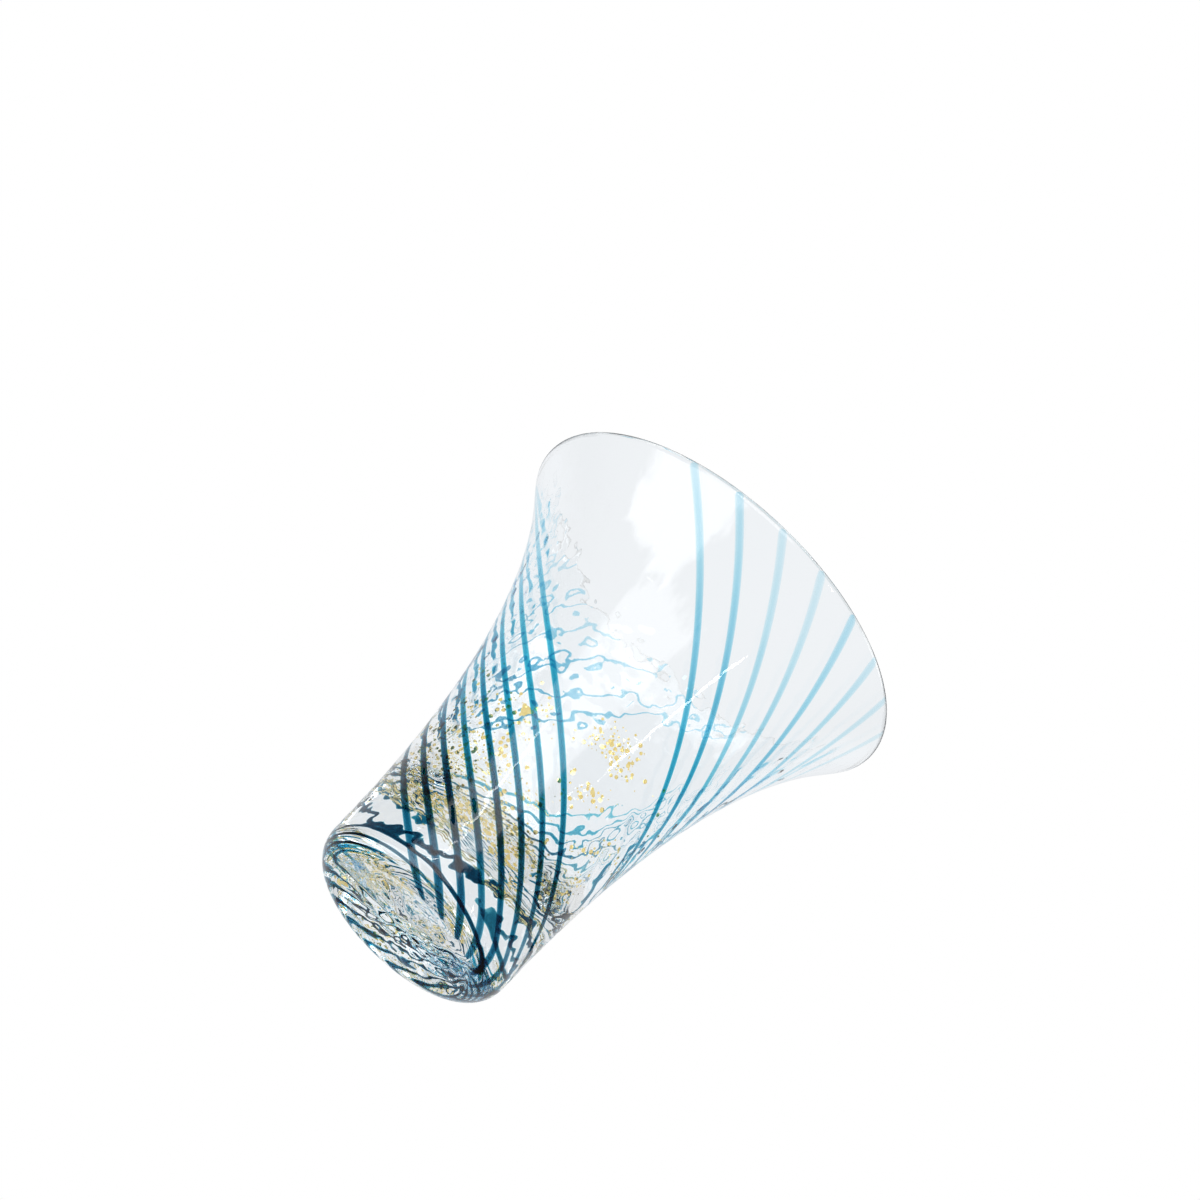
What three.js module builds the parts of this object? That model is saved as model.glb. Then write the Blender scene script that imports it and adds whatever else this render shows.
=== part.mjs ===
// Flared sake cup of blown glass, in millimetres, standing on its foot with +Z up.
// Two gathers of clear glass hold gold leaf between them, and coloured threads
// are inlaid in the outside, twisting from the lip down to the heel.
import * as THREE from "three";

// Outside of the cup
const HEIGHT = 77.5;
const MOUTH_DIAMETER = 70;
const FOOT_DIAMETER = 35.5;
const HEEL_RADIUS = 4.2;
const LIP_FLARE = 34; // degrees from upright
const FOOT_PULL = 51.5; // how far the foot's straight wall is carried up
const LIP_PULL = 6.3; // how far the lip's flare is carried down

// Glass thicknesses
const BASE_THICKNESS = 15.5;
const OUTER_GATHER_AT_FOOT = 2.3;
const OUTER_GATHER_AT_LIP = 0.9;
const INNER_GATHER_AT_FOOT = 1.2;
const INNER_GATHER_AT_LIP = 0.6;
const INNER_GATHER_FLOOR = 1.5;
const INSIDE_CORNER_RADIUS = 11;
const LIP_DEPTH = 2.4; // the lip is all outer gather this far down
const LIP_SEAT_CLEARANCE = 0.25;

// Gold leaf between the gathers
const LEAF_THICKNESS = 0.08;
const LEAF_CLEARANCE = 0.22;
const LEAF_SMALL = 1;
const LEAF_LARGE = 2.4;
const LEAF_RAGGEDNESS = 0.45; // share of its reach that a flake's corner may lack
const LEAF_CORNERS = 5;
const LEAF_TOP = 43; // highest flake above the underside
const LEAF_TO_AXIS = 3; // from the lowest flake to the middle of the floor
const LEAF_CROWDING = 1.2; // flakes lie closer together towards the floor
const LEAF_COUNT = 30;

// Inlaid threads
const BAND_ANGLES = [-90, 87]; // middle of each band at the lip, degrees from +X
const THREADS_PER_BAND = 8;
const BAND_SWEEP_AT_FOOT = 115.5; // degrees from a band's first thread to its last
const BAND_SWEEP_AT_LIP = 101.5;
const THREAD_LEAD_AT_FOOT = 48.3; // degrees of twist away from the upright
const THREAD_LEAD_AT_LIP = 39.5;
const THREAD_WIDTH_AT_FOOT = 1.5;
const THREAD_WIDTH_AT_LIP = 1.5;
const THREAD_NECKING = 0.4; // width lost at half height, where the glass was drawn
const THREAD_BACK_SHARE = 0.5; // width of a thread's buried back against its face
const THREAD_DEPTH_AT_FOOT = 1.1;
const THREAD_DEPTH_AT_LIP = 0.35;
const THREAD_TIP_LENGTH = 5;
const THREAD_TIP_WIDTH = 0.5;
const THREAD_TO_UNDERSIDE = 0.8;
const THREAD_TO_LIP = 0.6;
const THREAD_CLEARANCE = 0.2;

// Facets
const LINER_SEGMENTS = 44;
const GAP_SEGMENTS = 6; // facets between the two bands
const THREAD_STEPS = 22;
const STEP_CROWDING = 1.3; // steps lie closer together round the heel
const LINER_STEPS = 8;
const LIP_STEPS = 4;
const CORNER_STEPS = 9;

const degrees = THREE.MathUtils.degToRad;
const { lerp, clamp } = THREE.MathUtils;

// Outer meridian, as radius and height, from the edge of the flat underside to the lip.
const footRadius = FOOT_DIAMETER / 2;
const undersideRadius = footRadius - HEEL_RADIUS;
const leafGap = LEAF_THICKNESS + 2 * LEAF_CLEARANCE;
const lipRadius = (OUTER_GATHER_AT_LIP + leafGap + INNER_GATHER_AT_LIP) / 2;
const flare = degrees(LIP_FLARE);
const lipArc = new THREE.ArcCurve(
  MOUTH_DIAMETER / 2 - lipRadius,
  HEIGHT - lipRadius,
  lipRadius,
  -flare,
  Math.PI - flare,
  false,
);
const lipEdge = lipArc.getPoint(0);

const meridian = new THREE.Path();
meridian.moveTo(undersideRadius, 0);
meridian.absarc(undersideRadius, HEEL_RADIUS, HEEL_RADIUS, -Math.PI / 2, 0, false);
meridian.bezierCurveTo(
  footRadius,
  HEEL_RADIUS + FOOT_PULL,
  lipEdge.x - LIP_PULL * Math.sin(flare),
  lipEdge.y - LIP_PULL * Math.cos(flare),
  lipEdge.x,
  lipEdge.y,
);
const heelLength = meridian.curves[0].getLength();
const meridianLength = meridian.getLength();

// Point at a length along the outer meridian and a depth under its surface.
function inGlass(along, depth) {
  const share = clamp(along / meridianLength, 0, 1);
  const point = meridian.getPoint(share);
  const tangent = meridian.getTangent(share);
  return new THREE.Vector2(point.x - tangent.y * depth, point.y + tangent.x * depth);
}

function turn(point, angle) {
  return new THREE.Vector3(point.x * Math.cos(angle), point.x * Math.sin(angle), point.y);
}

// Thicknesses that change evenly up the wall, from the top of the heel to the lip.
const upWall = (along) => (along - heelLength) / (meridianLength - heelLength);
const casingDepth = (along) => lerp(OUTER_GATHER_AT_FOOT, OUTER_GATHER_AT_LIP, upWall(along));
const linerDepth = (along) => casingDepth(along) + leafGap;
const linerWall = (along) => lerp(INNER_GATHER_AT_FOOT, INNER_GATHER_AT_LIP, upWall(along));
const wallDepth = (along) => linerDepth(along) + linerWall(along);

// Length along the meridian at a height, on the nearly upright wall above the heel.
function alongAt(height, depthAt) {
  const along = heelLength + height - HEEL_RADIUS;
  return along + height - inGlass(along, depthAt(along)).y;
}

// One face of a gather: down the wall from a length along the meridian, round the
// corner of the floor and in to the axis.
function gatherFace(topAlong, depthAt, floor, corner) {
  const cornerAlong = alongAt(floor + corner, depthAt);
  const line = [];
  for (let step = 0; step <= LINER_STEPS; step += 1) {
    const along = lerp(topAlong, cornerAlong, step / LINER_STEPS);
    line.push(inGlass(along, depthAt(along)));
  }
  const wallFoot = line[LINER_STEPS];
  for (let step = 1; step <= CORNER_STEPS; step += 1) {
    const angle = (-step / CORNER_STEPS) * (Math.PI / 2);
    const radius = wallFoot.x - corner + corner * Math.cos(angle);
    line.push(new THREE.Vector2(radius, floor + corner + corner * Math.sin(angle)));
  }
  line.push(new THREE.Vector2(0, floor));
  return line;
}

// Skin through rings of points. A ring of one point closes an end, and each four-sided
// patch is split along its shorter diagonal.
function skin(rings) {
  const points = rings.flat();
  const faces = [];
  let start = 0;
  for (let ring = 0; ring + 1 < rings.length; ring += 1) {
    const lower = rings[ring].length;
    const upper = rings[ring + 1].length;
    for (let side = 0; side < Math.max(lower, upper); side += 1) {
      const a = start + (side % lower);
      const b = start + ((side + 1) % lower);
      const c = start + lower + ((side + 1) % upper);
      const d = start + lower + (side % upper);
      if (lower === 1) {
        faces.push(a, c, d);
      } else if (upper === 1) {
        faces.push(a, b, c);
      } else if (points[a].distanceTo(points[c]) < points[b].distanceTo(points[d])) {
        faces.push(a, b, c, a, c, d);
      } else {
        faces.push(a, b, d, b, c, d);
      }
    }
    start += lower;
  }
  const geometry = new THREE.BufferGeometry();
  const coordinates = points.flatMap((point) => point.toArray());
  geometry.setAttribute("position", new THREE.Float32BufferAttribute(coordinates, 3));
  geometry.setIndex(faces);
  geometry.computeVertexNormals();
  return geometry;
}

// Threads, measured along the meridian from the tip near the underside to the lip.
const threadStart = THREAD_TO_UNDERSIDE;
const threadEnd = meridianLength - THREAD_TO_LIP;
const upThread = (along) => clamp((along - threadStart) / (threadEnd - threadStart), 0, 1);
const leadAt = (along) => degrees(lerp(THREAD_LEAD_AT_FOOT, THREAD_LEAD_AT_LIP, upThread(along)));

const stations = [];
for (let step = 0; step <= THREAD_STEPS; step += 1) {
  stations.push(lerp(threadStart, threadEnd, (step / THREAD_STEPS) ** STEP_CROWDING));
}

// Turn about the axis, in radians, that a thread makes on its way down from the lip.
function twistAt(along) {
  const stride = (threadEnd - along) / THREAD_STEPS;
  let twist = 0;
  for (let step = 0; step < THREAD_STEPS; step += 1) {
    const middle = along + (step + 0.5) * stride;
    twist += (Math.tan(leadAt(middle)) / inGlass(middle, 0).x) * stride;
  }
  return twist;
}

const sweepAt = (along) => degrees(lerp(BAND_SWEEP_AT_FOOT, BAND_SWEEP_AT_LIP, upThread(along)));
const pitchAt = (along) => sweepAt(along) / (THREADS_PER_BAND - 1);

function threadAngle(band, index, along) {
  const fromMiddle = index - (THREADS_PER_BAND - 1) / 2;
  return degrees(BAND_ANGLES[band]) + twistAt(along) + fromMiddle * pitchAt(along);
}

// Level section of a thread, with a flat back narrower than its flush face. The
// margin makes the same section wider and deeper, for the groove that holds it.
function threadSection(along, margin) {
  const up = upThread(along);
  const tip = Math.sqrt(clamp((along - threadStart) / THREAD_TIP_LENGTH, 0, 1));
  const necking = THREAD_NECKING * 4 * up * (1 - up);
  const fullWidth = lerp(THREAD_WIDTH_AT_FOOT, THREAD_WIDTH_AT_LIP, up) - necking;
  const width = lerp(THREAD_TIP_WIDTH, fullWidth, tip);
  const fullDepth = lerp(THREAD_DEPTH_AT_FOOT, THREAD_DEPTH_AT_LIP, up);
  const slant = Math.cos(leadAt(along)) * inGlass(along, 0).x;
  return {
    face: (width / 2 + margin) / slant,
    back: ((width / 2) * THREAD_BACK_SHARE + margin) / slant,
    depth: (fullDepth * width) / fullWidth + margin,
  };
}

function thread(band, index) {
  const rings = stations.map((along) => {
    const { face, back, depth } = threadSection(along, 0);
    const angle = threadAngle(band, index, along);
    return [
      turn(inGlass(along, 0), angle - face),
      turn(inGlass(along, 0), angle + face),
      turn(inGlass(along, depth), angle + back),
      turn(inGlass(along, depth), angle - back),
    ];
  });
  const middleOf = (ring) => ring.reduce((sum, point) => sum.add(point), new THREE.Vector3())
    .divideScalar(ring.length);
  return skin([[middleOf(rings[0])], ...rings, [middleOf(rings.at(-1))]]);
}

// Outside ring of the outer gather: a groove at each thread, and plain glass between.
function casingRing(along, isGrooved) {
  const { face, back, depth } = threadSection(along, THREAD_CLEARANCE);
  const cut = isGrooved ? depth : 0;
  const ring = [];
  BAND_ANGLES.forEach((bandAngle, band) => {
    for (let index = 0; index < THREADS_PER_BAND; index += 1) {
      const angle = threadAngle(band, index, along);
      ring.push(turn(inGlass(along, 0), angle - face));
      ring.push(turn(inGlass(along, cut), angle - back));
      ring.push(turn(inGlass(along, cut), angle + back));
      ring.push(turn(inGlass(along, 0), angle + face));
      if (index + 1 < THREADS_PER_BAND) {
        ring.push(turn(inGlass(along, 0), angle + pitchAt(along) / 2));
      }
    }
    const nextBand = (band + 1) % BAND_ANGLES.length;
    const lastAngle = threadAngle(band, THREADS_PER_BAND - 1, along) + face;
    const nextAngle = threadAngle(nextBand, 0, along) - face;
    const gap = THREE.MathUtils.euclideanModulo(nextAngle - lastAngle, 2 * Math.PI);
    for (let step = 1; step < GAP_SEGMENTS; step += 1) {
      ring.push(turn(inGlass(along, 0), lastAngle + (gap * step) / GAP_SEGMENTS));
    }
  });
  return ring;
}

// Outer gather: heel, thick base and lip in one piece of clear glass.
const lipSeat = meridianLength - LIP_DEPTH;
const casingFloor = BASE_THICKNESS - INNER_GATHER_FLOOR - leafGap;
const casingCorner = INSIDE_CORNER_RADIUS + INNER_GATHER_AT_FOOT + leafGap;

function outerGather() {
  const outside = [
    casingRing(0, false),
    casingRing(threadStart - THREAD_CLEARANCE, false),
    ...stations.map((along) => casingRing(along, true)),
    casingRing(threadEnd + THREAD_CLEARANCE, false),
    casingRing(meridianLength, false),
  ];
  const columns = outside.at(-1).map((point) => Math.atan2(point.y, point.x));
  const inside = [
    ...lipArc.getPoints(LIP_STEPS).slice(1),
    inGlass(lipSeat, wallDepth(lipSeat)),
    ...gatherFace(lipSeat, casingDepth, casingFloor, casingCorner),
  ];
  const floorCentre = inside.pop();
  return skin([
    [new THREE.Vector3(0, 0, 0)],
    ...outside,
    ...inside.map((point) => columns.map((angle) => turn(point, angle))),
    [turn(floorCentre, 0)],
  ]);
}

// Inner gather: the bubble that holds the drink, seated under the lip.
function innerGather() {
  const top = lipSeat - LIP_SEAT_CLEARANCE;
  const underside = BASE_THICKNESS - INNER_GATHER_FLOOR;
  const outside = gatherFace(top, linerDepth, underside, INSIDE_CORNER_RADIUS + INNER_GATHER_AT_FOOT);
  const inside = gatherFace(top, wallDepth, BASE_THICKNESS, INSIDE_CORNER_RADIUS);
  return new THREE.LatheGeometry([...outside.reverse(), ...inside], LINER_SEGMENTS).rotateX(Math.PI / 2);
}

// Gold leaf: torn flakes that lie flat in the gap between the gathers.
const goldenTurn = Math.PI * (3 - Math.sqrt(5));
const uneven = (seed) => 0.5 + 0.5 * Math.sin(seed * seed * goldenTurn);

function flake(seed) {
  const corners = LEAF_CORNERS + (seed % 2);
  const size = lerp(LEAF_SMALL, LEAF_LARGE, uneven(seed));
  const outline = [];
  for (let corner = 0; corner < corners; corner += 1) {
    const angle = (corner / corners) * 2 * Math.PI;
    const reach = (size / 2) * (1 - LEAF_RAGGEDNESS * uneven(seed + corner));
    outline.push(new THREE.Vector2(reach * Math.cos(angle), reach * Math.sin(angle)));
  }
  const sheet = { depth: LEAF_THICKNESS, bevelEnabled: false };
  return new THREE.ExtrudeGeometry(new THREE.Shape(outline), sheet).translate(0, 0, -LEAF_THICKNESS / 2);
}

// Line of the leaf in its gap, from the middle of the floor round the corner and up the wall.
const leafDepth = (along) => casingDepth(along) + leafGap / 2;
const leafFloor = casingFloor + leafGap / 2;
const leafCorner = casingCorner - leafGap / 2;
const leafFace = gatherFace(alongAt(LEAF_TOP, leafDepth), leafDepth, leafFloor, leafCorner);
const leafLine = new THREE.Path(leafFace.reverse());
const leafStart = LEAF_TO_AXIS / leafLine.getLength();

function layFlake(index) {
  const share = lerp(leafStart, 1, ((index + 0.5) / LEAF_COUNT) ** LEAF_CROWDING);
  const angle = index * goldenTurn;
  const around = new THREE.Vector3(-Math.sin(angle), Math.cos(angle), 0);
  const up = turn(leafLine.getTangent(share), angle);
  const out = new THREE.Vector3().crossVectors(around, up);
  const place = turn(leafLine.getPoint(share), angle);
  return flake(index).applyMatrix4(new THREE.Matrix4().makeBasis(around, up, out).setPosition(place));
}

// Named pieces
const clearGlass = { color: 0xe4edf0, roughness: 0.05, metalness: 0 };
const tealGlass = { color: 0x2f9dbd, roughness: 0.05, metalness: 0 };
const goldLeaf = { color: 0xd9b257, roughness: 0.35, metalness: 1 };
const cup = new THREE.Group();

function addPiece(name, geometry, look) {
  const piece = new THREE.Mesh(geometry, new THREE.MeshStandardMaterial(look));
  piece.name = name;
  cup.add(piece);
}

const numbered = (name, number) => `${name}_${String(number).padStart(2, "0")}`;

addPiece("outer_gather", outerGather(), clearGlass);
addPiece("inner_gather", innerGather(), clearGlass);
BAND_ANGLES.forEach((bandAngle, band) => {
  for (let index = 0; index < THREADS_PER_BAND; index += 1) {
    addPiece(numbered("thread", band * THREADS_PER_BAND + index + 1), thread(band, index), tealGlass);
  }
});
for (let index = 0; index < LEAF_COUNT; index += 1) {
  addPiece(numbered("gold_leaf", index + 1), layFlake(index), goldLeaf);
}

export default cup;
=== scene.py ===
import math
import bpy
import numpy as np
from mathutils import Matrix, Vector


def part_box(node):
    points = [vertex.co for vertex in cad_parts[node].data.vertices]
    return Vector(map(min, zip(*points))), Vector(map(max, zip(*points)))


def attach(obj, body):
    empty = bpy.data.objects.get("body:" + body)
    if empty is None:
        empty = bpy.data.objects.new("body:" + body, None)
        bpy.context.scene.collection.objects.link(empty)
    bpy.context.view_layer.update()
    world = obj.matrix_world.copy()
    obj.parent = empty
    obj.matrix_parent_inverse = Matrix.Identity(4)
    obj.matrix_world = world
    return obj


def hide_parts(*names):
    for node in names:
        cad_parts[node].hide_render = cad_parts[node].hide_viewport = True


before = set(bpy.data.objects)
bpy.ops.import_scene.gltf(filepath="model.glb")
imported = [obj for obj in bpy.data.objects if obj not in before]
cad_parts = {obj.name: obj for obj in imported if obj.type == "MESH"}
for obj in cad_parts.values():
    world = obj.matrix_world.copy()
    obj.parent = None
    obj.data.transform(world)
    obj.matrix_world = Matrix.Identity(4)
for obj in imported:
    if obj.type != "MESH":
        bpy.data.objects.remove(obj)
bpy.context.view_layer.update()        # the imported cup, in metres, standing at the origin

mm = 0.001
plainWhite = (1, 1, 1, 1)
scene = bpy.context.scene
scene.view_settings.view_transform = "Standard"
scene.cycles.max_bounces = 40            # light crosses many layers of glass
scene.cycles.transmission_bounces = 40
scene.cycles.glossy_bounces = 16
scene.cycles.transparent_max_bounces = 16

# outside of the cup: height and mouth come from the frame
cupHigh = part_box("outer_gather")[1]
cupForm = {
    "height": cupHigh.z,
    "mouthRadius": cupHigh.x,
    "footRadius": 17.75 * mm,
    "heelRadius": 4.2 * mm,
    "lipFlare": math.radians(34),
    "footPull": 51.5 * mm,       # how far the upright line of the foot carries up
    "lipPull": 6.3 * mm,         # how far the slope of the lip carries down
    "wallAtFoot": 4.0 * mm,
    "wallAtLip": 2.0 * mm,
    "baseThickness": 15.5 * mm,
    "insideCorner": 11.0 * mm,
    "heelSteps": 40,
    "wallSteps": 400,
}


def put(tree, kind, inputs=None, **settings):
    node = tree.nodes.new(kind)
    for key, value in settings.items():
        setattr(node, key, value)
    for name, value in (inputs or {}).items():
        if isinstance(value, bpy.types.NodeSocket):
            tree.links.new(value, node.inputs[name])
        else:
            node.inputs[name].default_value = value
    return node


def calc(tree, operation, *values):
    return put(tree, "ShaderNodeMath", dict(enumerate(values)), operation=operation).outputs[0]


def pointPlace(tree):
    return put(tree, "GeometryNodeInputPosition").outputs[0]


def stored(tree, name, kind="FLOAT"):
    return put(tree, "GeometryNodeInputNamedAttribute", {"Name": name}, data_type=kind).outputs[0]


def geometryTree(name, inputs):
    tree = bpy.data.node_groups.new(name, "GeometryNodeTree")
    tree.interface.new_socket("Geometry", in_out="INPUT", socket_type="NodeSocketGeometry")
    tree.interface.new_socket("Geometry", in_out="OUTPUT", socket_type="NodeSocketGeometry")
    for label, kind in inputs.items():
        tree.interface.new_socket(label, in_out="INPUT", socket_type="NodeSocket" + kind)
    return tree, put(tree, "NodeGroupInput"), put(tree, "NodeGroupOutput")


def grow(base, tree, values):
    modifier = base.modifiers.new(tree.name, "NODES")
    modifier.node_group = tree
    for item in tree.interface.items_tree:
        if item.in_out == "INPUT" and item.name in values:
            modifier[item.identifier] = values[item.name]
    shown = base.evaluated_get(bpy.context.evaluated_depsgraph_get())
    mesh = bpy.data.meshes.new_from_object(shown)
    base.modifiers.clear()
    base.data = mesh
    mesh.name = base.name


def newPiece(name, points, edges=(), faces=()):
    mesh = bpy.data.meshes.new(name)
    mesh.from_pydata([tuple(point) for point in points], list(edges), list(faces))
    piece = bpy.data.objects.new(name, mesh)
    scene.collection.objects.link(piece)
    return piece


def addAttribute(piece, name, kind, values):
    attribute = piece.data.attributes.new(name, kind, "POINT")
    key = "vector" if kind == "FLOAT_VECTOR" else "value"
    attribute.data.foreach_set(key, np.asarray(values, np.float32).ravel())


def newMaterial(name):
    material = bpy.data.materials.new(name)
    material.use_nodes = True
    material.node_tree.nodes.clear()
    return material, material.node_tree


# profile of the outside, from the edge of the underside round the heel and up to the lip
def outsideLine():
    c = cupForm
    underside = c["footRadius"] - c["heelRadius"]
    lip = c["wallAtLip"] / 2
    turn = np.linspace(-math.pi / 2, 0, c["heelSteps"])
    heel = np.c_[underside + c["heelRadius"] * np.cos(turn), c["heelRadius"] * (1 + np.sin(turn))]
    flare = np.array([math.sin(c["lipFlare"]), math.cos(c["lipFlare"])])
    foot = np.array([c["footRadius"], c["heelRadius"]])
    lipCentre = np.array([c["mouthRadius"] - lip, c["height"] - lip])
    edge = lipCentre + lip * np.array([flare[1], -flare[0]])
    t = np.linspace(0, 1, c["wallSteps"])[1:, None]
    lift = np.array([0, c["footPull"]])
    wall = ((1 - t) ** 3 * foot + 3 * (1 - t) ** 2 * t * (foot + lift)
            + 3 * (1 - t) * t ** 2 * (edge - c["lipPull"] * flare) + t ** 3 * edge)
    return np.vstack([heel, wall]), lipCentre


def lipArc(reach, count):
    turn = np.linspace(0, reach, count) - cupForm["lipFlare"]
    return lipCentre + cupForm["wallAtLip"] / 2 * np.c_[np.cos(turn), np.sin(turn)]


def measured(line):
    along = np.r_[0, np.cumsum(np.hypot(*np.diff(line, axis=0).T))]
    return line, along, np.gradient(line, along, axis=0)


outside, lipCentre = outsideLine()
wallLine = measured(outside)
outsideLength = wallLine[1][-1]
heelLength = cupForm["heelRadius"] * math.pi / 2


# point at a depth in the glass, with the outward direction there
def inGlass(along, depth, guide=wallLine):
    line, length, slope = guide
    r, z = (np.interp(along, length, line[:, i]) for i in (0, 1))
    tr, tz = (np.interp(along, length, slope[:, i]) for i in (0, 1))
    return np.stack([r - tz * depth, z + tr * depth], -1), np.stack([tz, -tr], -1)


def wallDepth(along):
    up = (np.asarray(along) - heelLength) / (outsideLength - heelLength)
    return cupForm["wallAtFoot"] + (cupForm["wallAtLip"] - cupForm["wallAtFoot"]) * up


# round corner between the wall and the floor of a layer: where it leaves the wall, its
# centre and the lean of the wall there
def bowlCorner(floorZ, radius, layer):
    along = np.linspace(heelLength, outsideLength / 2, cupForm["wallSteps"])
    spot, normal = inGlass(along, wallDepth(along) * layer)
    lean = np.arctan2(normal[:, 1], normal[:, 0])
    i = np.argmin(np.abs(spot[:, 1] - radius * np.sin(lean) - floorZ - radius))
    return along[i], spot[i, 0] - radius * np.cos(lean[i]), floorZ + radius, lean[i]


# clear glass, blown in one bubble: the profile is turned, then rippled as the hand left it
glassBody = {
    "segments": 300,
    "undersideRows": 26,
    "outsideRows": 118,
    "crowding": 1.25,            # rows lie closer round the heel
    "lipRows": 22,
    "insideRows": 122,
    "cornerRows": 16,
    "floorRows": 22,
    "seam": 0.001 * mm,          # points closer than this are sewn together
    "swellHeight": 0.11 * mm,
    "swellLength": 6.0 * mm,
    "rippleHeight": 0.085 * mm,
    "rippleLength": 2.5 * mm,
    "noiseLow": 0.25,            # noise that makes a full hollow
    "noiseHigh": 0.75,           # and a full hump
    "outsideRipple": 0.2,        # ripples are shares of the height
    "heelRipple": 1.2,
    "heelReach": 24.0 * mm,      # the ripple over the heel has died down this far up
    "heelCalm": 1.4,             # heel radii over which it grows from nothing
    "heelGrowth": 3,
    "lipRipple": 0.03,
    "underLipRipple": 0.15,
    "lipReach": 12.0 * mm,       # inside, it grows over this much below the lip
    "floorRipple": 1.2,
    "undersideRipple": 1.3,
    "undersideHollow": 0.3 * mm,     # the cup stands on the ring inside the heel
    "hollowShape": 8,            # higher is flatter, with a sharper ring
    "seed": 3.0,
}


def glassProfile():
    b, c = glassBody, cupForm
    rows = []
    underside = outside[0, 0]
    for share in np.linspace(0, 1, b["undersideRows"], endpoint=False):
        inside = 1 - share ** b["hollowShape"]
        rows.append((share * underside, b["undersideHollow"] * inside, b["undersideRipple"] * inside))
    share = np.linspace(0, 1, b["outsideRows"]) ** b["crowding"]
    for r, z in inGlass(share * outsideLength, 0)[0]:
        uneven = max(b["outsideRipple"], b["heelRipple"] * (1 - z / b["heelReach"]))
        grown = (z / (b["heelCalm"] * c["heelRadius"])) ** b["heelGrowth"]
        rows.append((r, z, uneven * min(1, grown)))
    rows += [(r, z, b["lipRipple"]) for r, z in lipArc(math.pi, b["lipRows"] + 2)[1:-1]]
    cornerAlong, cornerR, cornerZ, lean = bowlCorner(c["baseThickness"], c["insideCorner"], 1)
    down = np.linspace(outsideLength, cornerAlong, b["insideRows"])
    for along, (r, z) in zip(down, inGlass(down, wallDepth(down))[0]):
        grown = b["underLipRipple"] + (outsideLength - along) / b["lipReach"]
        rows.append((r, z, min(1, grown)))
    for a in np.linspace(lean, -math.pi / 2, b["cornerRows"] + 1)[1:]:
        r = cornerR + c["insideCorner"] * math.cos(a)
        rows.append((r, cornerZ + c["insideCorner"] * math.sin(a), 1))
    for r in np.linspace(cornerR, 0, b["floorRows"])[1:]:
        rows.append((r, c["baseThickness"], b["floorRipple"]))
    return rows


def glassTree(rowCount, material):
    tree, start, end = geometryTree("turnedGlass", {
        "Segments": "Int", "Swell Height": "Float", "Swell Length": "Float",
        "Ripple Height": "Float", "Ripple Length": "Float", "Seed": "Float"})
    grid = put(tree, "GeometryNodeMeshGrid", {
        "Size X": 1.0, "Size Y": 1.0, "Vertices Y": rowCount,
        "Vertices X": calc(tree, "ADD", start.outputs["Segments"], 1.0)})
    place = put(tree, "ShaderNodeSeparateXYZ", {0: pointPlace(tree)})
    angle = calc(tree, "MULTIPLY", place.outputs["X"], 2 * math.pi)
    row = calc(tree, "ADD", place.outputs["Y"], 0.5)
    row = calc(tree, "ROUND", calc(tree, "MULTIPLY", row, rowCount - 1.0))
    spot = put(tree, "GeometryNodeSampleIndex", {
        "Geometry": start.outputs["Geometry"], "Value": pointPlace(tree), "Index": row},
        data_type="FLOAT_VECTOR")
    spot = put(tree, "ShaderNodeSeparateXYZ", {0: spot.outputs[0]})      # radius, height, ripple
    turned = put(tree, "ShaderNodeCombineXYZ", {
        "X": calc(tree, "MULTIPLY", spot.outputs["X"], calc(tree, "COSINE", angle)),
        "Y": calc(tree, "MULTIPLY", spot.outputs["X"], calc(tree, "SINE", angle)),
        "Z": spot.outputs["Y"]})
    shaped = put(tree, "GeometryNodeStoreNamedAttribute", {
        "Geometry": grid.outputs["Mesh"], "Name": "ripple", "Value": spot.outputs["Z"]})
    shaped = put(tree, "GeometryNodeSetPosition", {
        "Geometry": shaped.outputs[0], "Position": turned.outputs[0]})
    sewn = put(tree, "GeometryNodeMergeByDistance", {
        "Geometry": shaped.outputs[0], "Distance": glassBody["seam"]})
    lifts = []
    for kind in ("Swell", "Ripple"):
        noise = put(tree, "ShaderNodeTexNoise", {
            "Vector": pointPlace(tree), "W": start.outputs["Seed"], "Detail": 1.0, "Roughness": 0.5,
            "Scale": calc(tree, "DIVIDE", 1.0, start.outputs[kind + " Length"])},
            noise_dimensions="4D")
        lift = put(tree, "ShaderNodeMapRange", {
            "Value": noise.outputs[0], "From Min": glassBody["noiseLow"],
            "From Max": glassBody["noiseHigh"], "To Min": -1.0}, clamp=False)
        lifts.append(calc(tree, "MULTIPLY", lift.outputs[0], start.outputs[kind + " Height"]))
    mask = stored(tree, "ripple")
    uneven = calc(tree, "MULTIPLY_ADD", lifts[1], mask, lifts[0])
    uneven = calc(tree, "MULTIPLY", uneven, mask)
    push = put(tree, "ShaderNodeVectorMath", {
        0: put(tree, "GeometryNodeInputNormal").outputs[0], "Scale": uneven}, operation="SCALE")
    rippled = put(tree, "GeometryNodeSetPosition", {
        "Geometry": sewn.outputs[0], "Offset": push.outputs[0]})
    smooth = put(tree, "GeometryNodeSetShadeSmooth", {"Geometry": rippled.outputs[0]})
    whole = put(tree, "GeometryNodeRealizeInstances", {"Geometry": smooth.outputs[0]})
    finished = put(tree, "GeometryNodeSetMaterial", {
        "Geometry": whole.outputs[0], "Material": material})
    tree.links.new(finished.outputs[0], end.inputs["Geometry"])
    return tree


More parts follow.
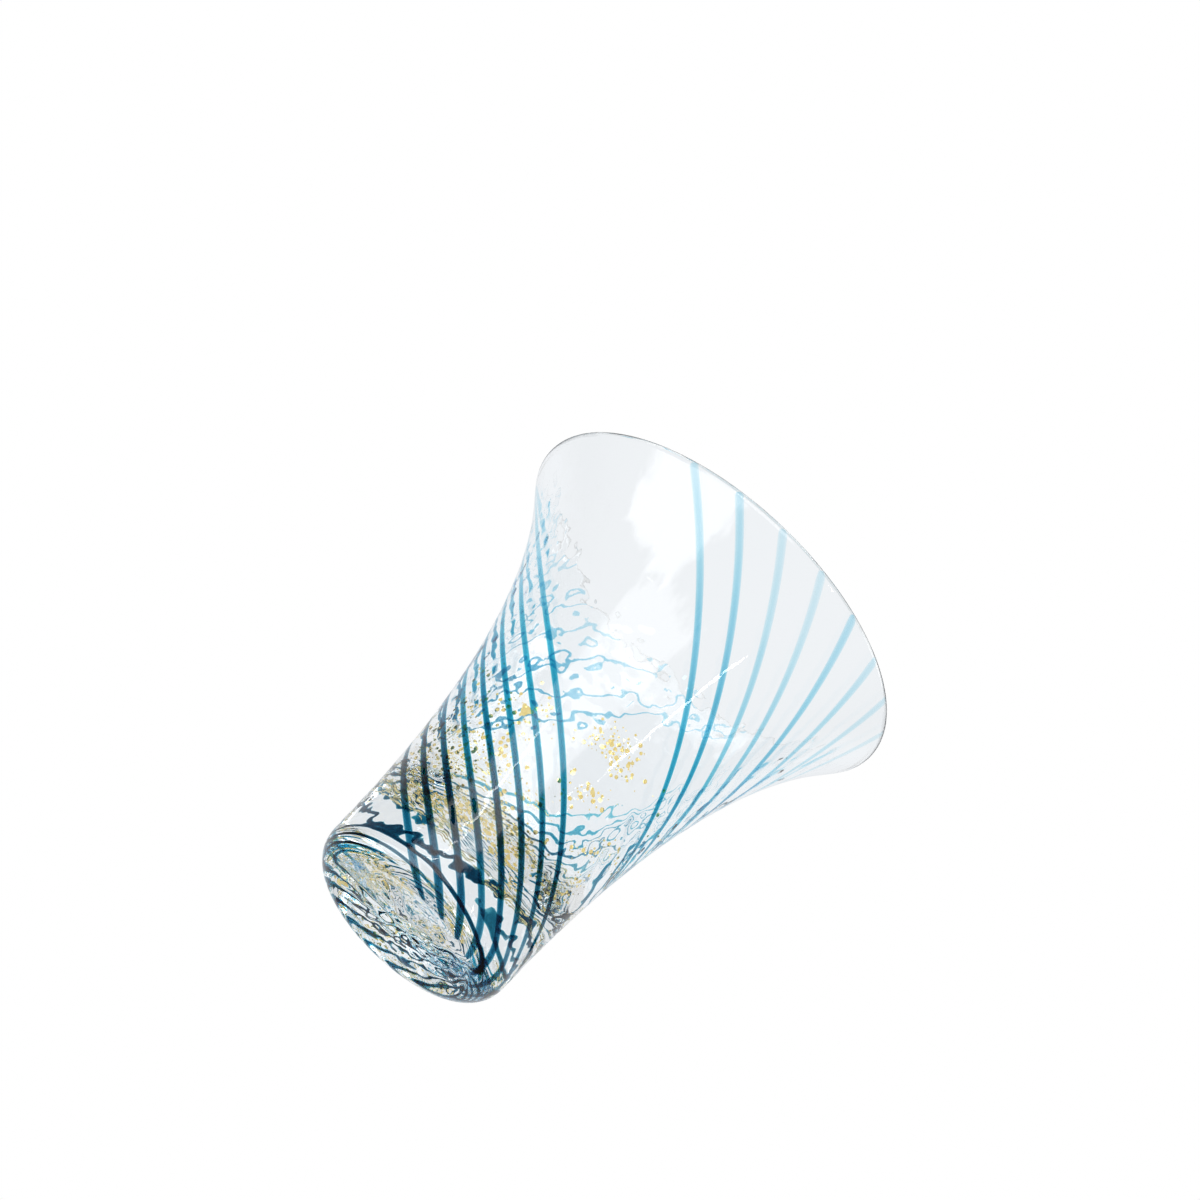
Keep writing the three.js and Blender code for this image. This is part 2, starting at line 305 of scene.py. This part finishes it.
clearLook = {
    "ior": 1.5,
    "cordsPerMetre": 300.0,      # faint cords left by the stretching of the glass
    "cordBump": 0.05,
    "cordDepth": 0.1 * mm,
    "tintsPerMetre": 40.0,
    "coolTint": (0.965, 0.982, 0.990, 1),
    "clearTint": (0.985, 0.994, 0.998, 1),
    "depthColour": (0.55, 0.62, 0.66, 1),    # seen where the glass is thick
    "depthDensity": 8.0,
}


def clearGlass():
    look = clearLook
    material, tree = newMaterial("clear_glass")
    where = put(tree, "ShaderNodeTexCoord").outputs["Object"]
    cords = put(tree, "ShaderNodeTexNoise", {
        "Vector": where, "Scale": look["cordsPerMetre"], "Detail": 1.0, "Roughness": 0.4})
    bump = put(tree, "ShaderNodeBump", {
        "Height": cords.outputs[0], "Strength": look["cordBump"], "Distance": look["cordDepth"]})
    tint = put(tree, "ShaderNodeTexNoise", {"Vector": where, "Scale": look["tintsPerMetre"]})
    colour = put(tree, "ShaderNodeValToRGB", {0: tint.outputs[0]})
    colour.color_ramp.elements[0].color = look["coolTint"]
    colour.color_ramp.elements[1].color = look["clearTint"]
    glass = put(tree, "ShaderNodeBsdfPrincipled", {
        "Base Color": colour.outputs[0], "Roughness": 0.0, "IOR": look["ior"],
        "Transmission Weight": 1.0, "Normal": bump.outputs[0]})
    depth = put(tree, "ShaderNodeVolumeAbsorption", {
        "Color": look["depthColour"], "Density": look["depthDensity"]})
    put(tree, "ShaderNodeOutputMaterial", {"Surface": glass.outputs[0], "Volume": depth.outputs[0]})
    return material


profile = glassProfile()
body = newPiece("glass_body", profile)
grow(body, glassTree(len(profile), clearGlass()), {
    "Segments": glassBody["segments"],
    "Swell Height": glassBody["swellHeight"], "Swell Length": glassBody["swellLength"],
    "Ripple Height": glassBody["rippleHeight"], "Ripple Length": glassBody["rippleLength"],
    "Seed": glassBody["seed"]})
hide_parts("outer_gather", "inner_gather")
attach(body, "root")
print("glass body", len(body.data.polygons), "faces")

# drawn threads of blue-green glass, twisted round the outside in two bands
threads = {
    "bandAngles": (-90, 87),     # degrees, at the lip
    "perBand": 8,
    "sweepAtFoot": 115.5,        # degrees across one band
    "sweepAtLip": 101.5,
    "leadAtFoot": 48.3,          # degrees off the upright
    "leadAtLip": 39.5,
    "widthAtFoot": 1.4 * mm,
    "widthAtLip": 1.5 * mm,
    "necking": 0.42 * mm,        # how much thinner they are half way up
    "tipLength": 3.5 * mm,
    "tipWidth": 0.7 * mm,
    "flatness": 0.16,            # thickness against width
    "underSurface": 0.02 * mm,
    "toUnderside": 0.3 * mm,
    "overLip": math.radians(55),
    "lipTaper": 0.8 * mm,
    "lipEnd": 0.2,               # share of the taper that is left where they end
    "lipSteps": 12,
    "steps": 164,
    "sides": 16,
    "strength": ((1.0, 1.1, 0.7, 0.7, 1.2, 0.9, 0.7, 0.5),
                 (1.1, 1.2, 1.3, 1.0, 1.2, 1.0, 0.9, 0.95)),
}
threadLine = measured(np.vstack([outside, lipArc(threads["overLip"], threads["lipSteps"])[1:]]))


def threadPath(band, index):
    t = threads
    along = np.linspace(t["toUnderside"], threadLine[1][-1], t["steps"])
    up = along / outsideLength
    lead = np.radians(t["leadAtFoot"] + (t["leadAtLip"] - t["leadAtFoot"]) * up)
    surface, _ = inGlass(along, 0, threadLine)
    rate = np.tan(lead) / surface[:, 0]
    turned = np.r_[0, np.cumsum((rate[1:] + rate[:-1]) / 2 * np.diff(along))]
    turned = np.interp(outsideLength, along, turned) - turned
    sweep = t["sweepAtFoot"] + (t["sweepAtLip"] - t["sweepAtFoot"]) * up
    place = index / (t["perBand"] - 1) - 0.5
    angle = np.radians(t["bandAngles"][band] + sweep * place) + turned
    width = t["widthAtFoot"] + (t["widthAtLip"] - t["widthAtFoot"]) * up
    width = width - t["necking"] * 4 * up * (1 - up)
    tip = np.clip((along - along[0]) / t["tipLength"], 0, 1)
    tip *= np.clip(t["lipEnd"] + (along[-1] - along) / t["lipTaper"], 0, 1)
    width = t["tipWidth"] + (width - t["tipWidth"]) * np.sqrt(tip)
    sunk, normal = inGlass(along, t["underSurface"] + width * t["flatness"] / 2, threadLine)
    around = np.c_[np.cos(angle), np.sin(angle)]
    points = np.c_[around * sunk[:, :1], sunk[:, 1]]
    outward = np.c_[around * normal[:, :1], normal[:, 1]]
    return points, outward, width / 2


def threadTree(material):
    tree, start, end = geometryTree("drawnThread", {
        "Sides": "Int", "Flatness": "Float", "Strength": "Float"})
    path = put(tree, "GeometryNodeMeshToCurve", {"Mesh": start.outputs["Geometry"]})
    path = put(tree, "GeometryNodeSetCurveNormal", {
        "Curve": path.outputs[0], "Normal": stored(tree, "outward", "FLOAT_VECTOR")}, mode="FREE")
    ring = put(tree, "GeometryNodeCurvePrimitiveCircle", {
        "Resolution": start.outputs["Sides"], "Radius": 1.0})
    chord = put(tree, "ShaderNodeSeparateXYZ", {0: pointPlace(tree)})
    chord = calc(tree, "ABSOLUTE", chord.outputs["X"])
    ring = put(tree, "GeometryNodeStoreNamedAttribute", {
        "Geometry": ring.outputs[0], "Name": "core",       # thin glass is paler
        "Value": calc(tree, "MULTIPLY", chord, start.outputs["Strength"])})
    squeeze = put(tree, "ShaderNodeCombineXYZ", {
        "X": start.outputs["Flatness"], "Y": 1.0, "Z": 1.0})
    oval = put(tree, "GeometryNodeTransform", {
        "Geometry": ring.outputs[0], "Scale": squeeze.outputs[0]})
    swept = put(tree, "GeometryNodeCurveToMesh", {
        "Curve": path.outputs[0], "Profile Curve": oval.outputs[0],
        "Scale": stored(tree, "halfWidth"), "Fill Caps": True})
    smooth = put(tree, "GeometryNodeSetShadeSmooth", {"Geometry": swept.outputs[0]})
    whole = put(tree, "GeometryNodeRealizeInstances", {"Geometry": smooth.outputs[0]})
    finished = put(tree, "GeometryNodeSetMaterial", {
        "Geometry": whole.outputs[0], "Material": material})
    tree.links.new(finished.outputs[0], end.inputs["Geometry"])
    return tree


threadGlass = {
    "ior": 1.0,                  # fused in, so no edge bends the light
    "blotchesPerMetre": 120.0,
    "blotchReach": 8 * mm,       # how far a blotch moves the colours up or down
    "colours": (                 # height as a share of the cup, and the colour through one thread
        (0.0, (0.018, 0.160, 0.270, 1)),
        (0.1, (0.010, 0.140, 0.240, 1)),
        (0.17, (0.001, 0.050, 0.100, 1)),
        (0.23, (0.001, 0.060, 0.115, 1)),
        (0.34, (0.005, 0.175, 0.290, 1)),
        (0.49, (0.016, 0.325, 0.500, 1)),
        (0.61, (0.040, 0.390, 0.570, 1)),
        (0.73, (0.200, 0.580, 0.760, 1)),
        (0.87, (0.450, 0.770, 0.890, 1)),
        (1.0, (0.640, 0.850, 0.935, 1)),
    ),
}


def tealGlass():
    look = threadGlass
    material, tree = newMaterial("thread_glass")
    where = put(tree, "ShaderNodeTexCoord").outputs["Object"]
    height = put(tree, "ShaderNodeSeparateXYZ", {0: where})
    blotch = put(tree, "ShaderNodeTexNoise", {
        "Vector": where, "Scale": look["blotchesPerMetre"], "Detail": 1.0})
    drift = calc(tree, "SUBTRACT", blotch.outputs[0], 0.5)
    drift = calc(tree, "MULTIPLY", drift, look["blotchReach"])
    share = put(tree, "ShaderNodeMapRange", {
        "Value": calc(tree, "ADD", height.outputs["Z"], drift), "From Max": cupForm["height"]})
    colour = put(tree, "ShaderNodeValToRGB", {0: share.outputs[0]})
    stops = colour.color_ramp.elements
    for place, shade in look["colours"][1:-1]:
        stops.new(place).color = shade
    stops[0].color = look["colours"][0][1]
    stops[-1].color = look["colours"][-1][1]
    core = put(tree, "ShaderNodeAttribute", attribute_name="core")
    seen = put(tree, "ShaderNodeGamma", {
        "Color": colour.outputs[0], "Gamma": core.outputs["Fac"]})
    glass = put(tree, "ShaderNodeBsdfPrincipled", {
        "Base Color": seen.outputs[0], "Roughness": 0.0, "IOR": look["ior"],
        "Transmission Weight": 1.0})
    put(tree, "ShaderNodeOutputMaterial", {"Surface": glass.outputs[0]})
    return material


drawnThread = threadTree(tealGlass())
for band in range(len(threads["bandAngles"])):
    for index in range(threads["perBand"]):
        number = f"{band * threads['perBand'] + index + 1:02d}"
        points, outward, halfWidth = threadPath(band, index)
        chain = [(i, i + 1) for i in range(len(points) - 1)]
        thread = newPiece("drawn_thread_" + number, points, chain)
        addAttribute(thread, "outward", "FLOAT_VECTOR", outward)
        addAttribute(thread, "halfWidth", "FLOAT", halfWidth)
        grow(thread, drawnThread, {"Sides": threads["sides"], "Flatness": threads["flatness"],
                                   "Strength": threads["strength"][band][index]})
        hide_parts("thread_" + number)
        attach(thread, "root")
print("threads", threads["perBand"] * len(threads["bandAngles"]))

# gold leaf: torn specks between the layers, dense under the floor and thinning up the wall
goldLeaf = {
    "wallSpecks": 1.9e6,         # most specks in a square metre
    "floorSpecks": 6.0e6,
    "driftSpecks": 6.5e6,        # a thick drift on one side
    "driftAngle": math.radians(-100),
    "driftHeight": 36.0 * mm,
    "driftReach": 6.0 * mm,
    "top": 45.0 * mm,
    "thinning": 2,               # power of the fall towards the top
    "gathering": 4,              # power of the rise towards the floor
    "patchesPerMetre": 110.0,
    "bareBelow": 0.42,           # noise without any leaf
    "fullAbove": 0.62,
    "smallest": 0.1 * mm,
    "largest": 0.44 * mm,
    "smallMany": 2.2,            # higher leaves fewer large ones
    "thickness": 0.02 * mm,
    "sides": 6,
    "tilt": 0.12,                # radians out of the layer, at most
    "tear": 0.16 * mm,
    "tearsPerMetre": 2500.0,
    "depthInWall": 0.65,         # share of the wall, from the outside
    "underFloor": 1.6 * mm,
    "firstRing": 0.2 * mm,
    "floorRows": 12,
    "bendRows": 20,
    "wallRows": 40,
    "segments": 96,
    "seed": 11,
}


def leafLayer():
    g, c = goldLeaf, cupForm
    corner = c["insideCorner"] + g["underFloor"]
    floorZ = c["baseThickness"] - g["underFloor"]
    cornerAlong, centre, cornerZ, lean = bowlCorner(floorZ, corner, g["depthInWall"])
    topAlong = heelLength + g["top"] - c["heelRadius"]
    up = np.linspace(cornerAlong, topAlong, g["wallRows"])
    wall = inGlass(up, wallDepth(up) * g["depthInWall"])[0]
    turn = np.linspace(-math.pi / 2, lean, g["bendRows"])
    bend = np.c_[centre + corner * np.cos(turn), cornerZ + corner * np.sin(turn)]
    rings = np.linspace(g["firstRing"], centre, g["floorRows"])
    floor = np.c_[rings, np.full(len(rings), floorZ)]
    line = np.vstack([floor[:-1], bend[:-1], wall])
    n = g["segments"]
    turns = np.linspace(0, 2 * math.pi, n, endpoint=False)
    points = [(r * math.cos(a), r * math.sin(a), z) for r, z in line for a in turns]
    faces = [(i * n + j, i * n + (j + 1) % n, (i + 1) * n + (j + 1) % n, (i + 1) * n + j)
             for i in range(len(line) - 1) for j in range(n)]
    layer = newPiece("gold_specks", points, (), faces)
    share = np.clip((line[:, 1] - floorZ - corner) / (g["top"] - floorZ - corner), 0, 1)
    low = np.clip((floorZ + corner - line[:, 1]) / corner, 0, 1)
    amount = g["wallSpecks"] * (1 - share) ** g["thinning"]
    amount = amount + (g["floorSpecks"] - g["wallSpecks"]) * low ** g["gathering"]
    aside = np.angle(np.exp(1j * (turns - g["driftAngle"])))[None, :] * line[:, :1]
    away = np.hypot(aside, line[:, 1:] - g["driftHeight"]) / g["driftReach"]
    amount = amount[:, None] + g["driftSpecks"] * np.exp(-2 * away ** 2)
    addAttribute(layer, "amount", "FLOAT", amount)
    return layer


def speckTree(material):
    g = goldLeaf
    tree, start, end = geometryTree("tornLeaf", {
        "Smallest": "Float", "Largest": "Float", "Thickness": "Float", "Tear": "Float",
        "Seed": "Int"})
    patch = put(tree, "ShaderNodeTexNoise", {"Scale": g["patchesPerMetre"], "Detail": 2.0})
    patch = put(tree, "ShaderNodeMapRange", {
        "Value": patch.outputs[0], "From Min": g["bareBelow"], "From Max": g["fullAbove"]})
    density = calc(tree, "MULTIPLY", stored(tree, "amount"), patch.outputs[0])
    spots = put(tree, "GeometryNodeDistributePointsOnFaces", {
        "Mesh": start.outputs["Geometry"], "Density": density, "Seed": start.outputs["Seed"]})
    chance = put(tree, "FunctionNodeRandomValue", {
        "Min": 0.0, "Max": 1.0, "Seed": start.outputs["Seed"]}, data_type="FLOAT")
    size = put(tree, "ShaderNodeMapRange", {
        "Value": calc(tree, "POWER", chance.outputs["Value"], g["smallMany"]),
        "To Min": start.outputs["Smallest"], "To Max": start.outputs["Largest"]})
    flake = put(tree, "GeometryNodeMeshCylinder", {
        "Vertices": g["sides"], "Radius": 1.0, "Depth": 1.0})
    spin = put(tree, "FunctionNodeRandomValue", {
        0: (-g["tilt"], -g["tilt"], 0.0), 1: (g["tilt"], g["tilt"], 2 * math.pi)},
        data_type="FLOAT_VECTOR")
    turn = put(tree, "FunctionNodeRotateRotation", {
        "Rotation": spots.outputs["Rotation"], "Rotate By": spin.outputs["Value"]},
        rotation_space="LOCAL")
    scale = put(tree, "ShaderNodeCombineXYZ", {
        "X": size.outputs[0], "Y": size.outputs[0], "Z": start.outputs["Thickness"]})
    flakes = put(tree, "GeometryNodeInstanceOnPoints", {
        "Points": spots.outputs["Points"], "Instance": flake.outputs["Mesh"],
        "Rotation": turn.outputs[0], "Scale": scale.outputs[0]})
    whole = put(tree, "GeometryNodeRealizeInstances", {"Geometry": flakes.outputs[0]})
    tear = put(tree, "ShaderNodeTexNoise", {"Scale": g["tearsPerMetre"], "Detail": 0.0})
    tear = put(tree, "ShaderNodeVectorMath", {
        0: tear.outputs["Color"], 1: (0.5, 0.5, 0.5)}, operation="SUBTRACT")
    tear = put(tree, "ShaderNodeVectorMath", {
        0: tear.outputs[0], "Scale": start.outputs["Tear"]}, operation="SCALE")
    torn = put(tree, "GeometryNodeSetPosition", {
        "Geometry": whole.outputs[0], "Offset": tear.outputs[0]})
    finished = put(tree, "GeometryNodeSetMaterial", {
        "Geometry": torn.outputs[0], "Material": material})
    tree.links.new(finished.outputs[0], end.inputs["Geometry"])
    return tree


goldLook = {
    "wrinklesPerMetre": 1800.0,
    "deepGold": (0.95, 0.68, 0.20, 1),
    "paleGold": (1.0, 0.88, 0.46, 1),
    "smoothest": 0.07,
    "roughest": 0.15,
    "wrinkleBump": 0.05,
    "wrinkleDepth": 0.05 * mm,
    "metallic": 0.85,
}


def leafGold():
    look = goldLook
    material, tree = newMaterial("gold_leaf")
    where = put(tree, "ShaderNodeTexCoord").outputs["Object"]
    wrinkle = put(tree, "ShaderNodeTexNoise", {
        "Vector": where, "Scale": look["wrinklesPerMetre"], "Detail": 3.0})
    colour = put(tree, "ShaderNodeValToRGB", {0: wrinkle.outputs[0]})
    colour.color_ramp.elements[0].color = look["deepGold"]
    colour.color_ramp.elements[1].color = look["paleGold"]
    rough = put(tree, "ShaderNodeMapRange", {
        "Value": wrinkle.outputs[0], "To Min": look["smoothest"], "To Max": look["roughest"]})
    bump = put(tree, "ShaderNodeBump", {
        "Height": wrinkle.outputs[0], "Strength": look["wrinkleBump"],
        "Distance": look["wrinkleDepth"]})
    gold = put(tree, "ShaderNodeBsdfPrincipled", {
        "Base Color": colour.outputs[0], "Metallic": look["metallic"],
        "Roughness": rough.outputs[0], "Normal": bump.outputs[0]})
    put(tree, "ShaderNodeOutputMaterial", {"Surface": gold.outputs[0]})
    return material


goldMaterial = leafGold()
specks = leafLayer()
grow(specks, speckTree(goldMaterial), {
    "Smallest": goldLeaf["smallest"], "Largest": goldLeaf["largest"],
    "Thickness": goldLeaf["thickness"], "Tear": goldLeaf["tear"], "Seed": goldLeaf["seed"]})
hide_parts(*[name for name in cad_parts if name.startswith("gold_leaf")])
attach(specks, "root")
print("gold specks", len(specks.data.polygons), "faces")

# one large flake with torn edges, higher up than most
largeFlake = {
    "angle": math.radians(-143),
    "height": 33.5 * mm,
    "reach": 1.9 * mm,
    "corners": 3,
    "spin": math.radians(20),
    "points": 24,
    "tear": 0.3,                 # share of its reach that the edge may lack
    "seed": 4,
}


def tornFlake():
    f = largeFlake
    along = heelLength + f["height"] - cupForm["heelRadius"]
    (r, z), (out, rise) = inGlass(along, wallDepth(along) * goldLeaf["depthInWall"])
    cosine, sine = math.cos(f["angle"]), math.sin(f["angle"])
    middle = np.array([r * cosine, r * sine, z])
    outward = np.array([out * cosine, out * sine, rise])
    around = np.array([-sine, cosine, 0])
    upward = np.cross(outward, around)
    turn = np.linspace(0, 2 * math.pi, f["points"], endpoint=False)
    side = 2 * math.pi / f["corners"]
    reach = f["reach"] * math.cos(side / 2) / np.cos(turn % side - side / 2)
    reach *= 1 - f["tear"] * np.random.default_rng(f["seed"]).random(f["points"])
    turn = (turn + f["spin"])[:, None]
    edge = (np.cos(turn) * around + np.sin(turn) * upward) * reach[:, None]
    half = outward * goldLeaf["thickness"] / 2
    n = f["points"]
    points = np.vstack([middle + edge + half, middle + edge - half])
    faces = [tuple(range(n)), tuple(range(2 * n - 1, n - 1, -1))]
    faces += [(i, n + i, n + (i + 1) % n, (i + 1) % n) for i in range(n)]
    piece = newPiece("gold_flake", points, (), faces)
    piece.data.materials.append(goldMaterial)
    return piece


flake = tornFlake()
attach(flake, "root")
print("gold flake", len(flake.data.polygons), "faces")

# pale floor, seen from above only
floorSheet = {
    "radius": 2.5,
    "corners": 96,
    "drop": 0.2 * mm,            # below the foot
    "colour": (0.88, 0.88, 0.88, 1),
    "fadeFrom": 0.25,            # from here on it turns into plain white
    "fadeTo": 0.8,
    "throughShare": 0.85,        # share of plain white that is seen through the glass
    "throughLevel": 0.88,        # and how bright that is
}


def paleFloor():
    material, tree = newMaterial("pale_floor")
    where = put(tree, "ShaderNodeTexCoord")
    reach = put(tree, "ShaderNodeVectorMath", {0: where.outputs["Object"]}, operation="LENGTH")
    fade = put(tree, "ShaderNodeMapRange", {
        "Value": reach.outputs["Value"],
        "From Min": floorSheet["fadeFrom"], "From Max": floorSheet["fadeTo"]})
    matt = put(tree, "ShaderNodeBsdfDiffuse", {"Color": floorSheet["colour"]})
    inside = put(tree, "ShaderNodeLightPath").outputs["Is Transmission Ray"]
    level = put(tree, "ShaderNodeMapRange", {
        "Value": inside, "To Min": 1.0, "To Max": floorSheet["throughLevel"]})
    white = put(tree, "ShaderNodeEmission", {"Color": plainWhite, "Strength": level.outputs[0]})
    through = calc(tree, "MULTIPLY", inside, floorSheet["throughShare"])
    far = put(tree, "ShaderNodeMixShader", {
        0: calc(tree, "MAXIMUM", fade.outputs[0], through), 1: matt.outputs[0], 2: white.outputs[0]})
    clear = put(tree, "ShaderNodeBsdfTransparent")
    back = put(tree, "ShaderNodeNewGeometry")
    side = put(tree, "ShaderNodeMixShader", {
        0: back.outputs["Backfacing"], 1: far.outputs[0], 2: clear.outputs[0]})
    put(tree, "ShaderNodeOutputMaterial", {"Surface": side.outputs[0]})
    return material


turns = np.linspace(0, 2 * math.pi, floorSheet["corners"], endpoint=False)
rim = np.c_[np.cos(turns), np.sin(turns), np.zeros(len(turns))] * floorSheet["radius"]
floor = newPiece("floor", rim - [0, 0, floorSheet["drop"]], (), [tuple(range(len(rim)))])
floor.data.materials.append(paleFloor())
floor.visible_glossy = False
print("floor", floorSheet["radius"], "m")

# studio: a white surround, slightly cool through the glass, and large soft boxes
studio = {
    "seenThrough": (0.935, 0.95, 0.97, 1),
    "ceiling": 1.15,
    "ceilingFrom": 0.7,          # upward share of a direction
    "ceilingTo": 0.95,
    "around": 0.55,
    "roomColour": (0.95, 0.97, 1, 1),
    "brightSide": (0.27, 0.68, 0.68),    # the backdrop behind the cup
    "brightLevel": 0.85,
    "darkLevel": 0.12,           # the room behind the camera
    "darkUntil": 0.1,
    "brightFrom": 0.7,
    "boxDistance": 1.3,
}


def studioWorld():
    world = bpy.data.worlds.new("studio")
    world.use_nodes = True
    tree = world.node_tree
    tree.nodes.clear()
    path = put(tree, "ShaderNodeLightPath")
    direction = put(tree, "ShaderNodeTexCoord").outputs["Generated"]
    up = put(tree, "ShaderNodeSeparateXYZ", {0: direction})
    sky = put(tree, "ShaderNodeMapRange", {
        "Value": up.outputs["Z"], "From Min": studio["ceilingFrom"],
        "From Max": studio["ceilingTo"], "To Min": 1.0, "To Max": studio["ceiling"]})
    through = put(tree, "ShaderNodeBackground", {
        "Color": studio["seenThrough"], "Strength": sky.outputs[0]})
    shade = put(tree, "ShaderNodeVectorMath", {
        0: direction, 1: studio["brightSide"]}, operation="DOT_PRODUCT")
    shade = put(tree, "ShaderNodeMapRange", {
        "Value": shade.outputs["Value"], "From Min": studio["darkUntil"],
        "From Max": studio["brightFrom"], "To Min": studio["darkLevel"],
        "To Max": studio["brightLevel"]}, interpolation_type="SMOOTHSTEP")
    room = put(tree, "ShaderNodeBackground", {
        "Color": studio["roomColour"], "Strength": shade.outputs[0]})
    white = put(tree, "ShaderNodeBackground", {"Color": plainWhite, "Strength": 1.0})
    view = put(tree, "ShaderNodeBackground", {"Color": plainWhite, "Strength": studio["around"]})
    for ray, seen in (("Glossy", room), ("Transmission", through), ("Camera", white)):
        view = put(tree, "ShaderNodeMixShader", {
            0: path.outputs[f"Is {ray} Ray"], 1: view.outputs[0], 2: seen.outputs[0]})
    put(tree, "ShaderNodeOutputWorld", {"Surface": view.outputs[0]})
    return world


scene.world = studioWorld()
print("studio", scene.world.name)

# soft boxes: white cloth on a frame, with torn edges that break up the reflections
softBoxes = {
    "key_box": {"turn": -133, "rise": 9, "size": (1.7, 1.4), "glow": 2.1},
    "low_box": {"turn": -167, "rise": -29, "size": (1.45, 0.8), "glow": 3.0},
    "fill_box": {"turn": -20, "rise": 38, "size": (0.8, 0.8), "glow": 2.0},
    "top_box": {"turn": 90, "rise": 72, "size": (1.0, 1.0), "glow": 0.6},
    "near_strip": {"turn": -139, "rise": 16, "size": (0.04, 0.46), "glow": 9.0,
                   "folds": 16.0, "torn": 4.0, "lean": -45},
    "side_strip": {"turn": -75, "rise": -2, "size": (0.05, 0.64), "glow": 12.0,
                   "folds": 22.0, "torn": 5.0, "lean": 8},
}
plainCloth = {"folds": 5.0, "torn": 0.6, "lean": 0}
clothEdge = {"fullUntil": 0.68, "goneFrom": 0.92}      # shares of the way to the rim


def tornCloth():
    group = bpy.data.node_groups.new("tornCloth", "ShaderNodeTree")
    group.interface.new_socket("Place", in_out="INPUT", socket_type="NodeSocketVector")
    for label in ("Width", "Length", "Folds", "Torn"):
        group.interface.new_socket(label, in_out="INPUT", socket_type="NodeSocketFloat")
    group.interface.new_socket("Mask", in_out="OUTPUT", socket_type="NodeSocketFloat")
    start = put(group, "NodeGroupInput")
    place = put(group, "ShaderNodeSeparateXYZ", {0: start.outputs["Place"]})
    shares = []
    for axis, size in (("X", "Width"), ("Y", "Length")):
        half = calc(group, "MULTIPLY", start.outputs[size], 0.5)
        shares.append(calc(group, "DIVIDE", calc(group, "ABSOLUTE", place.outputs[axis]), half))
    rim = calc(group, "MAXIMUM", *shares)
    fold = put(group, "ShaderNodeTexNoise", {
        "Vector": start.outputs["Place"], "Scale": start.outputs["Folds"],
        "Detail": 4.0, "Roughness": 0.6})
    fold = calc(group, "SUBTRACT", fold.outputs[0], 0.5)
    rim = calc(group, "MULTIPLY_ADD", fold, start.outputs["Torn"], rim)
    mask = put(group, "ShaderNodeMapRange", {
        "Value": rim, "From Min": clothEdge["fullUntil"], "From Max": clothEdge["goneFrom"],
        "To Min": 1.0, "To Max": 0.0}, interpolation_type="SMOOTHSTEP")
    put(group, "NodeGroupOutput", {"Mask": mask.outputs[0]})
    return group


def glowingCloth(name, group, box):
    material, tree = newMaterial(name)
    cloth = put(tree, "ShaderNodeGroup", {
        "Place": put(tree, "ShaderNodeTexCoord").outputs["Object"],
        "Width": box["size"][0], "Length": box["size"][1],
        "Folds": box["folds"], "Torn": box["torn"]}, node_tree=group)
    light = put(tree, "ShaderNodeEmission", {"Color": cloth.outputs["Mask"], "Strength": box["glow"]})
    clear = put(tree, "ShaderNodeBsdfTransparent")
    both = put(tree, "ShaderNodeAddShader", {0: light.outputs[0], 1: clear.outputs[0]})
    put(tree, "ShaderNodeOutputMaterial", {"Surface": both.outputs[0]})
    return material


def softBox(name, group, box):
    x, y = box["size"][0] / 2, box["size"][1] / 2
    corners = [(-x, -y, 0), (x, -y, 0), (x, y, 0), (-x, y, 0)]
    sheet = newPiece(name, corners, (), [(0, 1, 2, 3)])
    sheet.data.materials.append(glowingCloth(name, group, box))
    turn, rise, lean = (math.radians(box[key]) for key in ("turn", "rise", "lean"))
    level = math.cos(rise)
    away = Vector((math.cos(turn) * level, math.sin(turn) * level, math.sin(rise)))
    facing = away.to_track_quat("Z", "Y").to_matrix() @ Matrix.Rotation(lean, 3, "Z")
    sheet.location = away * studio["boxDistance"] + Vector((0, 0, cupForm["height"] / 2))
    sheet.rotation_euler = facing.to_euler()
    sheet.visible_camera = False


clothMask = tornCloth()
for name, box in softBoxes.items():
    softBox(name, clothMask, {**plainCloth, **box})
print("soft boxes", len(softBoxes))

# camera: the cup lies tilted in the picture, so the camera looks up at it with a roll
photoView = {
    "turn": math.radians(-22.27),
    "lookUp": math.radians(26.59),
    "roll": math.radians(44.14),
    "distance": 942.6 * mm,
    "aim": (-12.93 * mm, 0, 63.8 * mm),
    "lens": 180,
    "sensor": 36,
    "nearest": 10 * mm,
}
camera = bpy.data.objects.new("camera", bpy.data.cameras.new("camera"))
scene.collection.objects.link(camera)
camera.data.lens = photoView["lens"]
camera.data.sensor_width = photoView["sensor"]
camera.data.clip_start = photoView["nearest"]
turned = Matrix.Rotation(photoView["turn"], 4, "Z")
tilt = turned @ Matrix.Rotation(math.pi / 2 + photoView["lookUp"], 4, "X")
aim = turned @ Vector(photoView["aim"])
eye = aim + tilt.to_3x3() @ Vector((0, 0, photoView["distance"]))
camera.matrix_world = Matrix.Translation(eye) @ tilt @ Matrix.Rotation(photoView["roll"], 4, "Z")
scene.camera = camera
print("camera at", [round(v, 4) for v in eye])
